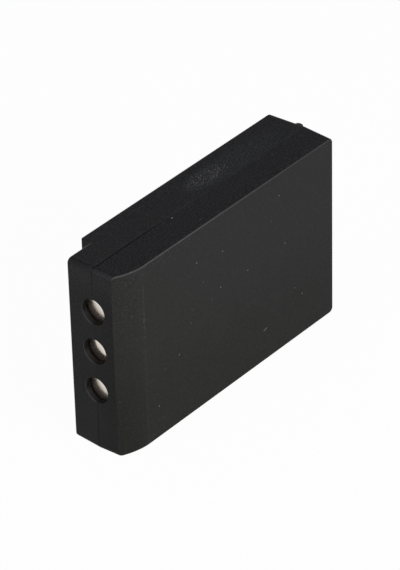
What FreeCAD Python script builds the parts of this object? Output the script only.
import FreeCAD, Part
import math
import os
import re
import Sketcher

# A rechargeable pack for a hand-held crane remote control: two drafted shells welded at a seam,
# five cells in a row between foam pads, and three contacts behind round wells in the nose.
# X runs from the nose to the far end, Y from the big front face to the rear, Z is up.
# Lengths are in millimetres and angles in degrees.

SIZES = {
    # Cells
    "cell_count": 5,
    "cell_diameter": 14.2,
    "cell_length": 50.0,
    "cell_gap": 0.3,
    "cell_shoulder": 0.6,
    "cell_button_radius": 2.75,
    "cell_button_height": 1.0,
    # Moulded case
    "wall": 1.8,
    "draft_angle": 1.7,
    "seam_offset": 1.5,
    "seam_bevel": 0.07,
    "corner_radius": 1.6,
    "edge_radius": 0.5,
    "cradle_depth": 2.6,
    "cradle_reach": 4.0,
    "cradle_thickness": 1.6,
    "cradle_inset": 10.0,
    "cradle_overhang": 1.5,
    "cradle_clearance": 0.15,
    "tongue_thickness": 0.8,
    "tongue_height": 1.0,
    "tongue_clearance": 0.1,
    # Nose
    "nose_length": 10.5,
    "nose_inset": 3.8,
    "bend_length": 9.8,
    "bend_drop": 3.35,
    "bend_radius": 20.0,
    "board_rib_height": 2.0,
    "board_rib_thickness": 1.2,
    # Catch rib on the far end
    "catch_radius": 1.6,
    "catch_height": 0.95,
    "catch_place": 2.5,
    "catch_inset": 0.5,
    "catch_round": 0.9,
    # Contacts and their board
    "contact_count": 3,
    "contact_pitch": 13.3,
    "contact_offset": 3.15,
    "well_radius": 4.05,
    "well_bevel": 0.15,
    "disc_radius": 4.7,
    "disc_recess": 0.5,
    "disc_thickness": 0.3,
    "disc_bevel": 0.08,
    "stem_radius": 1.2,
    "stem_clearance": 0.05,
    "stem_tail": 0.4,
    "board_thickness": 1.6,
    # Links, safety parts and packing
    "cable_bay": 14.75,
    "strip_thickness": 0.2,
    "strip_width": 4.0,
    "strap_width": 6.0,
    "strap_slit": 0.8,
    "leg_overlap": 2.0,
    "joggle_length": 2.0,
    "fuse_length": 11.0,
    "fuse_width": 7.5,
    "fuse_thickness": 4.0,
    "fuse_edge": 0.6,
    "thermistor_radius": 1.2,
    "thermistor_length": 4.0,
    "lead_width": 1.2,
    "insulator_thickness": 0.3,
    "pad_thickness": 3.0,
    "pad_width": 13.0,
    "end_pad_thickness": 1.65,
    "end_pad_inset": 4.0,
    "seat_gap": 0.05,
}

# Places worked out from the sizes, from the nose, the seam plane and the bottom of the case.
LAYOUT = {
    "rise": "tan(draft_angle)",
    "cell_radius": "cell_diameter / 2",
    "cell_pitch": "cell_diameter + cell_gap",
    "cell_axis": "seam_offset",
    # Depths from the seam
    "case_thickness": "cell_diameter + 2 * (cradle_depth + wall)",
    "front_depth": "case_thickness / 2 - seam_offset",
    "rear_depth": "case_thickness / 2 + seam_offset",
    "front_floor": "front_depth - wall",
    "rear_floor": "rear_depth - wall",
    "nose_front_floor": "front_floor - bend_drop",
    "nose_rear_floor": "rear_floor - nose_inset",
    "board_rise": "max(nose_front_floor; nose_rear_floor) * rise",
    # Distances from the nose
    "contact_face": "wall + well_radius * rise + disc_recess",
    "board_front": "contact_face + disc_thickness",
    "board_back": "board_front + board_thickness",
    "tail_end": "board_back + stem_tail",
    "row_start": "board_back + cable_bay",
    "row_end": "row_start + cell_count * cell_pitch - cell_gap",
    "last_cell_start": "row_end - cell_diameter",
    "end_rise": "(cradle_reach + seam_offset) * rise",
    "case_length": "row_end + end_pad_thickness + 2 * seat_gap + end_rise + wall",
    "case_reach": "case_length + catch_height",
    "fuse_middle": "(board_back + row_start) / 2",
    "thermistor_axis": "row_start - seat_gap - thermistor_radius",
    # Heights from the bottom
    "floor_rise": "(pad_width / 2 + seam_offset) * rise",
    "pad_low": "wall + floor_rise + seat_gap",
    "paper_low": "pad_low + pad_thickness",
    "strap_low": "paper_low + insulator_thickness",
    "cell_low": "strap_low + strip_thickness",
    "cell_high": "cell_low + cell_length",
    "paper_high": "cell_high + strip_thickness",
    "link_high": "paper_high + insulator_thickness",
    "pad_high": "link_high + strip_thickness",
    "case_height": "pad_high + pad_thickness + seat_gap + floor_rise + wall",
    "board_low": "wall + board_rise + seat_gap",
    "board_high": "case_height - board_low",
    "contact_middle": "case_height / 2 + contact_offset",
    "contact_bottom": "contact_middle - contact_pitch",
    "contact_top": "contact_middle + contact_pitch",
    "fuse_top": "cell_low + fuse_length",
}

# Names for the points of a sketch curve, the sketch's own normal and the tolerance of the edge tests
START, END, MIDDLE = range(1, 4)
UPWARD = FreeCAD.Vector(0, 0, 1)
NEAR = 0.01

# The length of the row of contacts, and of the row of cells between its outer axes
CONTACT_ROW = "(contact_count - 1) * contact_pitch"
CELL_ROW = "(cell_count - 1) * cell_pitch"

HOLDERS = {name: "Sizes." + name for name in SIZES}
HOLDERS.update({name: "Layout." + name for name in LAYOUT})


def bound(words):
    """An expression with each size or place named by the object that holds it."""
    return re.sub(r"[a-z_]+", lambda found: HOLDERS.get(found.group(), found.group()), words)


def number(words):
    return float(sheet.evalExpression(bound(words)))


doc = FreeCAD.newDocument("battery_pack")
sheet = doc.addObject("Spreadsheet::Sheet", "Sizes")
for row, (name, value) in enumerate(SIZES.items(), start=1):
    sheet.set(f"A{row}", name)
    sheet.set(f"B{row}", str(value))
    sheet.setAlias(f"B{row}", name)
layout = doc.addObject("App::VarSet", "Layout")
for name, words in LAYOUT.items():
    layout.addProperty("App::PropertyFloat", name, "Places")
    layout.setExpression(name, bound(words))
doc.recompute()


# Sketch helpers

def sketch_on(body, role, name, lift="0"):
    """An empty sketch on one of the body's own planes, lifted along that plane's normal."""
    plane = next(origin for origin in body.Origin.OriginFeatures if origin.Role == role)
    sketch = body.newObject("Sketcher::SketchObject", f"{body.Label}_{name}")
    sketch.AttachmentSupport = [(plane, "")]
    sketch.MapMode = "FlatFace"
    sketch.setExpression("AttachmentOffset.Base.z", bound(lift))
    return sketch


def point(across, up):
    return FreeCAD.Vector(number(across), number(up), 0)


def hold(sketch, kind, curve, end, words):
    """Fix how far one point of a curve is from the sketch's origin, in one direction."""
    index = sketch.addConstraint(Sketcher.Constraint(kind, -1, 1, curve, end, number(words)))
    sketch.setExpression(f"Constraints[{index}]", bound(words))


def pin(sketch, curve, end, across, up):
    """Fix one point of a curve at the place that two expressions give."""
    hold(sketch, "DistanceX", curve, end, across)
    hold(sketch, "DistanceY", curve, end, up)


def set_radius(sketch, curve, words):
    index = sketch.addConstraint(Sketcher.Constraint("Radius", curve, number(words)))
    sketch.setExpression(f"Constraints[{index}]", bound(words))


def polyline(sketch, corners):
    """Straight lines through corners given as pairs of expressions."""
    for start, end in zip(corners, corners[1:]):
        line = sketch.addGeometry(Part.LineSegment(point(*start), point(*end)), False)
        pin(sketch, line, START, *start)
        pin(sketch, line, END, *end)


def polygon(sketch, corners):
    polyline(sketch, corners + corners[:1])


def rectangle(sketch, left, low, right, high):
    polygon(sketch, [(left, low), (right, low), (right, high), (left, high)])


def circle(sketch, across, up, radius):
    ring = Part.Circle(point(across, up), UPWARD, number(radius))
    curve = sketch.addGeometry(ring, False)
    pin(sketch, curve, MIDDLE, across, up)
    set_radius(sketch, curve, radius)


def arc(sketch, start, end, radius):
    """A bow from start to end, counter-clockwise and at most half a turn."""
    first = point(*start)
    last = point(*end)
    half = (last - first) * 0.5
    bow = number(radius)
    inward = UPWARD.cross(half).normalize() * max(bow ** 2 - half.Length ** 2, 0) ** 0.5
    middle = first + half + inward
    angles = [math.atan2(spot.y - middle.y, spot.x - middle.x) for spot in (first, last)]
    curve = sketch.addGeometry(Part.ArcOfCircle(Part.Circle(middle, UPWARD, bow), *angles), False)
    pin(sketch, curve, START, *start)
    pin(sketch, curve, END, *end)
    return curve


def half_turn(sketch, across, start, end):
    """Half a circle between two heights at one place, counter-clockwise."""
    curve = arc(sketch, (across, start), (across, end), f"abs({end} - ({start})) / 2")
    hold(sketch, "DistanceX", curve, MIDDLE, across)


# Feature helpers

def place(item, across, inward, up):
    """Bind an object's place, given from the nose, the seam plane and the bottom of the case."""
    item.setExpression("Placement.Base.x", bound(f"{across} - case_reach / 2"))
    item.setExpression("Placement.Base.y", bound(f"{inward} - seam_offset"))
    item.setExpression("Placement.Base.z", bound(up))


def new_body(label, across="0", inward="0", up="0"):
    body = doc.addObject("PartDesign::Body", label)
    place(body, across, inward, up)
    return body


def finish_feature(body, feature):
    body.Tip = feature
    doc.recompute()
    return feature


def extrude(body, kind, sketch, length, reverse=False, both_ways=False):
    """Pad or pocket a sketch, and make sure that it changed the body."""
    before = body.Shape.Volume if body.Tip else 0
    feature = body.newObject(f"PartDesign::{kind}", f"{sketch.Name}_{kind}")
    feature.Profile = sketch
    feature.Reversed = reverse
    feature.SideType = "Symmetric" if both_ways else "One side"
    feature.setExpression("Length", bound(length))
    finish_feature(body, feature)
    gain = body.Shape.Volume - before
    if gain == 0 or (gain > 0) != (kind == "Pad"):
        raise RuntimeError(f"{feature.Name} leaves its body as it was")
    return feature


def revolve(body, kind, sketch, axis):
    """Turn a sketch about one of its own axes, to add a round form or to cut one."""
    feature = body.newObject(f"PartDesign::{kind}", f"{sketch.Name}_{kind}")
    feature.Profile = sketch
    feature.ReferenceAxis = (sketch, [axis])
    feature.Angle = 360
    return finish_feature(body, feature)


def row_of(body, original, role, length, count):
    """Repeat a feature in a straight row along one of the body's own axes."""
    axis = next(origin for origin in body.Origin.OriginFeatures if origin.Role == role)
    pattern = body.newObject("PartDesign::LinearPattern", f"{original.Name}_row")
    pattern.Originals = [original]
    pattern.Direction = (axis, [""])
    pattern.setExpression("Length", bound(length))
    pattern.setExpression("Occurrences", bound(count))
    return finish_feature(body, pattern)


def dress(body, kind, name, size, wanted):
    """Fillet or chamfer the edges that a test picks out."""
    base = body.Tip
    edges = [
        f"Edge{index}"
        for index, edge in enumerate(base.Shape.Edges, start=1)
        if not edge.Degenerated and wanted(edge)
    ]
    feature = body.newObject(f"PartDesign::{kind}", f"{body.Label}_{name}")
    feature.Base = (base, edges)
    feature.setExpression("Radius" if kind == "Fillet" else "Size", bound(size))
    return finish_feature(body, feature)


# Edge tests

def runs_along_depth(edge):
    """True for an edge that runs from the seam towards a big face."""
    span = edge.BoundBox
    return span.YLength > max(span.XLength, span.ZLength)


def on_seam(edge):
    return edge.BoundBox.YLength < NEAR and abs(edge.BoundBox.YMin) < NEAR


def is_level(edge):
    return edge.BoundBox.ZLength < NEAR


def outer_edges(level, fold):
    """A test for the edges further from the seam than a level, apart from the upright fold at one place."""
    fold_across, fold_inward = number(fold[0]), number(fold[1])

    def wanted(edge):
        span = edge.BoundBox
        beyond = min(abs(span.YMin), abs(span.YMax)) > abs(number(level)) - NEAR
        upright = max(span.XLength, span.YLength) < NEAR
        on_fold = math.hypot(span.XMin - fold_across, span.YMin - fold_inward) < 2 * NEAR
        return beyond and not (upright and on_fold)

    return wanted


# The two shells

def drafted(body, kind, name, depth, left, low, right, high):
    """A block or hollow, widest at the seam, whose sides lean in by the draft.

    A negative depth leads to the front face and a positive one to the rear face.
    """
    lean = f"abs({depth}) * rise"
    seam = (left, right, low, high)
    far = (f"{left} + {lean}", f"{right} - {lean}", f"{low} + {lean}", f"{high} - {lean}")
    towards_front = number(depth) < 0
    wedge = body.newObject(f"PartDesign::{kind}Wedge", f"{body.Label}_{name}")
    wedge.setExpression("Ymin", bound(depth if towards_front else "0"))
    wedge.setExpression("Ymax", bound("0" if towards_front else depth))
    first, second = (far, seam) if towards_front else (seam, far)
    for side, words in zip(("Xmin", "Xmax", "Zmin", "Zmax"), first):
        wedge.setExpression(side, bound(words))
    for side, words in zip(("X2min", "X2max", "Z2min", "Z2max"), second):
        wedge.setExpression(side, bound(words))
    return finish_feature(body, wedge)


def half_case(body, depth):
    """Half of the case as a solid block, with rounded corners and a fine bevel at the seam."""
    drafted(body, "Additive", "block", depth, "0", "0", "case_length", "case_height")
    dress(body, "Fillet", "corners", "corner_radius", runs_along_depth)
    dress(body, "Chamfer", "seam_line", "seam_bevel", on_seam)


def hollow(body, name, depth, left, right):
    drafted(body, "Subtractive", name, depth, left, "wall", right, "case_height - wall")


def cell_cradles(body, floor, crest):
    """Two scalloped ribs that hold the cells, from the floor of the shell to their crest."""
    rib = sketch_on(body, "XY_Plane", "rib", "cell_low + cradle_inset")
    rectangle(rib, "row_start - cradle_overhang", floor, "case_length - wall / 2", crest)
    first = extrude(body, "Pad", rib, "cradle_thickness", both_ways=True)
    row_of(body, first, "Z_Axis", "cell_length - 2 * cradle_inset", "2")
    scallop = sketch_on(body, "XY_Plane", "scallop", "cell_low + cell_length / 2")
    circle(scallop, "row_start + cell_radius", "cell_axis", "cell_radius + cradle_clearance")
    first = extrude(body, "Pocket", scallop, "cell_length", both_ways=True)
    row_of(body, first, "X_Axis", CELL_ROW, "cell_count")


def board_rib(body, floor, crest):
    """A rib behind the contact board, which holds one of its long edges to the nose wall."""
    rib = sketch_on(body, "XY_Plane", "board_rib", "board_low")
    back = "board_back + seat_gap"
    rectangle(rib, back, floor, f"{back} + board_rib_thickness", crest)
    extrude(body, "Pad", rib, "board_high - board_low")


def contact_wells(body):
    """The half of each round well that this shell gives to the nose wall."""
    mouth = sketch_on(body, "YZ_Plane", "well")
    circle(mouth, "0", "contact_bottom", "well_radius")
    first = extrude(body, "Pocket", mouth, "board_front", reverse=True)
    row_of(body, first, "Z_Axis", CONTACT_ROW, "contact_count")
    rim = sketch_on(body, "XZ_Plane", "well_rim")
    rim.setExpression("AttachmentOffset.Base.y", bound("contact_bottom"))
    polygon(rim, [
        ("well_bevel", "well_radius"),
        ("-well_bevel", "well_radius"),
        ("-well_bevel", "well_radius + 2 * well_bevel"),
    ])
    first = revolve(body, "Groove", rim, "H_Axis")
    row_of(body, first, "Z_Axis", CONTACT_ROW, "contact_count")


def tongue_outline(sketch, outer, inner, start):
    """A strip along the top, the far end and the bottom of the wall, open towards the nose."""
    polygon(sketch, [
        (start, outer),
        (f"case_length - {outer}", outer),
        (f"case_length - {outer}", f"case_height - {outer}"),
        (start, f"case_height - {outer}"),
        (start, f"case_height - {inner}"),
        (f"case_length - {inner}", f"case_height - {inner}"),
        (f"case_length - {inner}", inner),
        (start, inner),
    ])


def front_shell():
    """The half with the big face, whose nose end bends back towards the seam."""
    body = new_body("front_shell")
    half_case(body, "-front_depth")
    bend = sketch_on(body, "XY_Plane", "bend")
    crease = ("bend_length", "-front_depth")
    tip = ("0", "bend_drop - front_depth")
    bow = arc(bend, tip, crease, "bend_radius")
    set_radius(bend, bow, "bend_radius")
    outside = [("-wall", "bend_drop - front_depth + wall"), ("-wall", "-front_depth - wall")]
    polyline(bend, [tip, *outside, ("bend_length", "-front_depth - wall"), crease])
    extrude(body, "Pocket", bend, "3 * case_height", both_ways=True)
    rim = outer_edges("bend_drop - front_depth", crease)
    dress(body, "Fillet", "rim", "edge_radius", rim)
    hollow(body, "cell_bay", "-front_floor", "bend_length + wall", "case_length - wall")
    hollow(body, "nose_bay", "-nose_front_floor", "wall", "bend_length + 2 * wall")
    tongue = sketch_on(body, "XZ_Plane", "tongue")
    tongue_outline(tongue, "(wall - tongue_thickness)", "wall", "nose_length")
    extrude(body, "Pad", tongue, "tongue_height", reverse=True)
    cell_cradles(body, "-front_floor - wall / 2", "cell_axis - cradle_reach")
    board_rib(body, "-nose_front_floor - wall / 2", "board_rib_height - nose_front_floor")
    contact_wells(body)
    return body


def catch_rib():
    """The rib on the far end that the handset's latch holds, rounded at its top and bottom.

    It has no place of its own: the shell that it is joined to gives it one.
    """
    body = doc.addObject("PartDesign::Body", "catch_rib")
    outline = sketch_on(body, "XY_Plane", "outline", "catch_inset")
    root = "case_reach - catch_radius"
    low, high = "catch_place - catch_radius", "catch_place + catch_radius"
    half_turn(outline, root, low, high)
    polyline(outline, [(root, high), (root, low)])
    extrude(body, "Pad", outline, "case_height - 2 * catch_inset")
    dress(body, "Fillet", "ends", "catch_round", lambda edge: is_level(edge) and edge.BoundBox.XLength > NEAR)
    return body


def rear_shell():
    """The half behind the seam, with a step at the nose and a catch rib on the far end."""
    body = new_body("rear_shell")
    half_case(body, "rear_depth")
    step = sketch_on(body, "XY_Plane", "step")
    rectangle(step, "-wall", "rear_depth - nose_inset", "nose_length", "rear_depth + wall")
    extrude(body, "Pocket", step, "3 * case_height", both_ways=True)
    rim = outer_edges("rear_depth - nose_inset", ("nose_length", "rear_depth - nose_inset"))
    dress(body, "Fillet", "rim", "edge_radius", rim)
    hollow(body, "cell_bay", "rear_floor", "nose_length + wall", "case_length - wall")
    hollow(body, "nose_bay", "nose_rear_floor", "wall", "nose_length + 2 * wall")
    rebate = sketch_on(body, "XZ_Plane", "rebate")
    slot = "(wall - tongue_thickness - tongue_clearance)"
    tongue_outline(rebate, slot, "(wall + tongue_thickness)", "(nose_length - tongue_clearance)")
    extrude(body, "Pocket", rebate, "tongue_height + tongue_clearance")
    cell_cradles(body, "cell_axis + cradle_reach", "rear_floor + wall / 2")
    board_rib(body, "nose_rear_floor - board_rib_height", "nose_rear_floor + wall / 2")
    contact_wells(body)
    join = body.newObject("PartDesign::Boolean", "rear_shell_catch")
    join.setObjects([catch_rib()])
    finish_feature(body, join)
    return body


def contact(label, height):
    """A nickel disc with a riveted stem, whose face closes the bottom of a well."""
    body = new_body(label, up=height)
    profile = sketch_on(body, "XY_Plane", "profile")
    polygon(profile, [
        ("contact_face", "0"),
        ("contact_face", "disc_radius - disc_bevel"),
        ("contact_face + disc_bevel", "disc_radius"),
        ("board_front", "disc_radius"),
        ("board_front", "stem_radius"),
        ("tail_end", "stem_radius"),
        ("tail_end", "0"),
    ])
    revolve(body, "Revolution", profile, "H_Axis")
    return body


def contact_board():
    """The board behind the nose wall, with a hole for each contact's stem."""
    body = new_body("contact_board")
    outline = sketch_on(body, "YZ_Plane", "outline", "board_front")
    rectangle(
        outline,
        "seat_gap - nose_front_floor",
        "board_low",
        "nose_rear_floor - seat_gap",
        "board_high",
    )
    extrude(body, "Pad", outline, "board_thickness")
    hole = sketch_on(body, "YZ_Plane", "stem_hole", "board_front")
    circle(hole, "0", "contact_bottom", "stem_radius + stem_clearance")
    first = extrude(body, "Pocket", hole, "board_thickness", reverse=True)
    row_of(body, first, "Z_Axis", CONTACT_ROW, "contact_count")
    return body


def cell_place(index):
    """The distance of a cell's axis from the nose."""
    return f"row_start + cell_radius + {index} * cell_pitch"


def cell(index):
    """A sealed can with a rolled shoulder and a button; every second cell stands on its button."""
    stands_up = index % 2 == 0
    foot = "cell_low" if stands_up else "cell_high"
    body = new_body(f"cell_{index + 1}", cell_place(index), "cell_axis", foot)
    if not stands_up:
        body.Placement.Rotation = FreeCAD.Rotation(FreeCAD.Vector(1, 0, 0), 180)
    profile = sketch_on(body, "XZ_Plane", "profile")
    top = "cell_length - cell_button_height"
    polygon(profile, [
        ("0", "0"),
        ("cell_radius", "0"),
        ("cell_radius", f"{top} - cell_shoulder"),
        ("cell_radius - cell_shoulder", top),
        ("cell_button_radius", top),
        ("cell_button_radius", "cell_length"),
        ("0", "cell_length"),
    ])
    revolve(body, "Revolution", profile, "V_Axis")
    return body


def strap(index):
    """A nickel strap between two neighbouring cells, with a slit at each weld."""
    at_top = index % 2 == 0
    level = "cell_high" if at_top else "strap_low"
    body = new_body(f"strap_{index + 1}_{index + 2}", cell_place(index), "cell_axis", level)
    outline = sketch_on(body, "XY_Plane", "outline")
    near, far = "0", "cell_pitch"
    low, high = "-strap_width / 2", "strap_width / 2"
    half_turn(outline, near, high, low)
    half_turn(outline, far, low, high)
    polyline(outline, [(near, low), (far, low)])
    polyline(outline, [(far, high), (near, high)])
    for weld in (near, far):
        reach = "strap_width / 4"
        rectangle(
            outline,
            f"{weld} - {reach}",
            "-strap_slit / 2",
            f"{weld} + {reach}",
            "strap_slit / 2",
        )
    extrude(body, "Pad", outline, "strip_thickness")
    return body


def bent_strip(label, corners, width="strip_width"):
    """A flat strip, drawn by its bent edge and centred on the contacts."""
    body = new_body(label)
    edge = sketch_on(body, "XZ_Plane", "edge")
    polygon(edge, corners)
    extrude(body, "Pad", edge, width, both_ways=True)
    return body


def positive_link():
    """From the last cell's button, over the insulating paper, down to the top contact."""
    leg = "tail_end + strip_thickness"
    foot = "contact_top - leg_overlap"
    joggle = "last_cell_start + joggle_length"
    weld = f"{cell_place('(cell_count - 1)')} + strip_width / 2"
    return bent_strip("positive_link", [
        ("tail_end", foot),
        (leg, foot),
        (leg, "link_high"),
        ("last_cell_start", "link_high"),
        (joggle, "cell_high"),
        (weld, "cell_high"),
        (weld, "cell_high + strip_thickness"),
        (joggle, "cell_high + strip_thickness"),
        ("last_cell_start", "pad_high"),
        ("tail_end", "pad_high"),
    ])


def negative_link():
    """From the first cell's base, flat along the bottom, to under the thermal cut-out."""
    return bent_strip("negative_link", [
        ("fuse_middle - fuse_thickness / 2", "strap_low"),
        (f"{cell_place(0)} + strip_width / 2", "strap_low"),
        (f"{cell_place(0)} + strip_width / 2", "cell_low"),
        ("fuse_middle - fuse_thickness / 2", "cell_low"),
    ])


def fuse_link():
    """From the top of the thermal cut-out to the bottom contact."""
    leg = "tail_end + strip_thickness"
    head = "max(contact_bottom; fuse_top) + leg_overlap"
    return bent_strip("fuse_link", [
        ("tail_end", "fuse_top"),
        ("fuse_middle + fuse_thickness / 2", "fuse_top"),
        ("fuse_middle + fuse_thickness / 2", "fuse_top + strip_thickness"),
        (leg, "fuse_top + strip_thickness"),
        (leg, head),
        ("tail_end", head),
    ])


def sense_link():
    """From the middle contact to the thermistor on the first cell."""
    leg = "tail_end + strip_thickness"
    tip = "thermistor_axis - thermistor_radius"
    return bent_strip("sense_link", [
        ("tail_end", "contact_middle - leg_overlap"),
        (leg, "contact_middle - leg_overlap"),
        (leg, "contact_middle"),
        (tip, "contact_middle"),
        (tip, "contact_middle + strip_thickness"),
        ("tail_end", "contact_middle + strip_thickness"),
    ])


def thermal_fuse():
    """A flat thermal cut-out that stands between its two strips."""
    body = new_body("thermal_fuse", "fuse_middle", "0", "cell_low")
    outline = sketch_on(body, "XY_Plane", "outline")
    rectangle(
        outline, "-fuse_thickness / 2", "-fuse_width / 2", "fuse_thickness / 2", "fuse_width / 2"
    )
    extrude(body, "Pad", outline, "fuse_length")
    dress(body, "Fillet", "edges", "fuse_edge", lambda edge: not is_level(edge))
    return body


def thermistor():
    """A small epoxy-coated bead against the side of the first cell."""
    bead = doc.addObject("Part::Cylinder", "thermistor")
    bead.setExpression("Radius", bound("thermistor_radius"))
    bead.setExpression("Height", bound("thermistor_length"))
    place(bead, "thermistor_axis", "cell_axis", "contact_middle - thermistor_length / 2")
    return bead


def block(label, across, inward, up, length, width, height):
    """A plain strip, pad or lead, given by its lowest corner and its size."""
    box = doc.addObject("Part::Box", label)
    for side, words in (("Length", length), ("Width", width), ("Height", height)):
        box.setExpression(side, bound(words))
    place(box, across, inward, up)
    return box


def sense_return():
    """The thermistor's other lead, down to the negative strip."""
    thick, wide = "strip_thickness", "lead_width"
    length = "contact_middle - thermistor_length / 2 - cell_low"
    across = f"thermistor_axis - {thick} / 2"
    return block("sense_return", across, f"cell_axis - {wide} / 2", "cell_low", thick, wide, length)


def paper(label, level, end):
    """A strip of insulating paper along the row of cells."""
    length = f"{end} - row_start"
    return block(
        label, "row_start", "cell_axis - pad_width / 2", level, length, "pad_width", "insulator_thickness"
    )


def long_pad(label, level):
    """A foam pad along the row of cells, between the paper or the link and the case."""
    length = "row_end - row_start"
    return block(label, "row_start", "cell_axis - pad_width / 2", level, length, "pad_width", "pad_thickness")


def end_pad():
    """A foam pad between the last cell and the far end of the case, as wide as the ribs leave free."""
    return block(
        "end_pad",
        "row_end + seat_gap",
        "cell_axis - cradle_reach + seat_gap",
        "cell_low + end_pad_inset",
        "end_pad_thickness",
        "2 * (cradle_reach - seat_gap)",
        "cell_length - 2 * end_pad_inset",
    )


parts = [
    front_shell(),
    rear_shell(),
    contact_board(),
    contact("contact_positive", "contact_top"),
    contact("contact_sense", "contact_middle"),
    contact("contact_negative", "contact_bottom"),
    *(cell(index) for index in range(SIZES["cell_count"])),
    *(strap(index) for index in range(SIZES["cell_count"] - 1)),
    positive_link(),
    negative_link(),
    fuse_link(),
    sense_link(),
    sense_return(),
    thermal_fuse(),
    thermistor(),
    paper("top_insulator", "paper_high", "last_cell_start"),
    paper("bottom_insulator", "paper_low", "row_end"),
    long_pad("top_pad", "pad_high"),
    long_pad("bottom_pad", "pad_low"),
    end_pad(),
]

doc.recompute()
for item in doc.Objects:
    if {"Invalid", "Error"} & set(item.State):
        raise RuntimeError(f"{item.Label} did not build")
for item in parts:
    if item.Shape.isNull() or not item.Shape.isValid():
        raise RuntimeError(f"{item.Label} has no valid shape")
    print(item.Label, len(item.Shape.Solids), round(item.Shape.Volume, 1), item.Shape.BoundBox)

os.makedirs("parts", exist_ok=True)
for item in parts:
    item.Shape.exportStep(f"parts/{item.Label}.step")
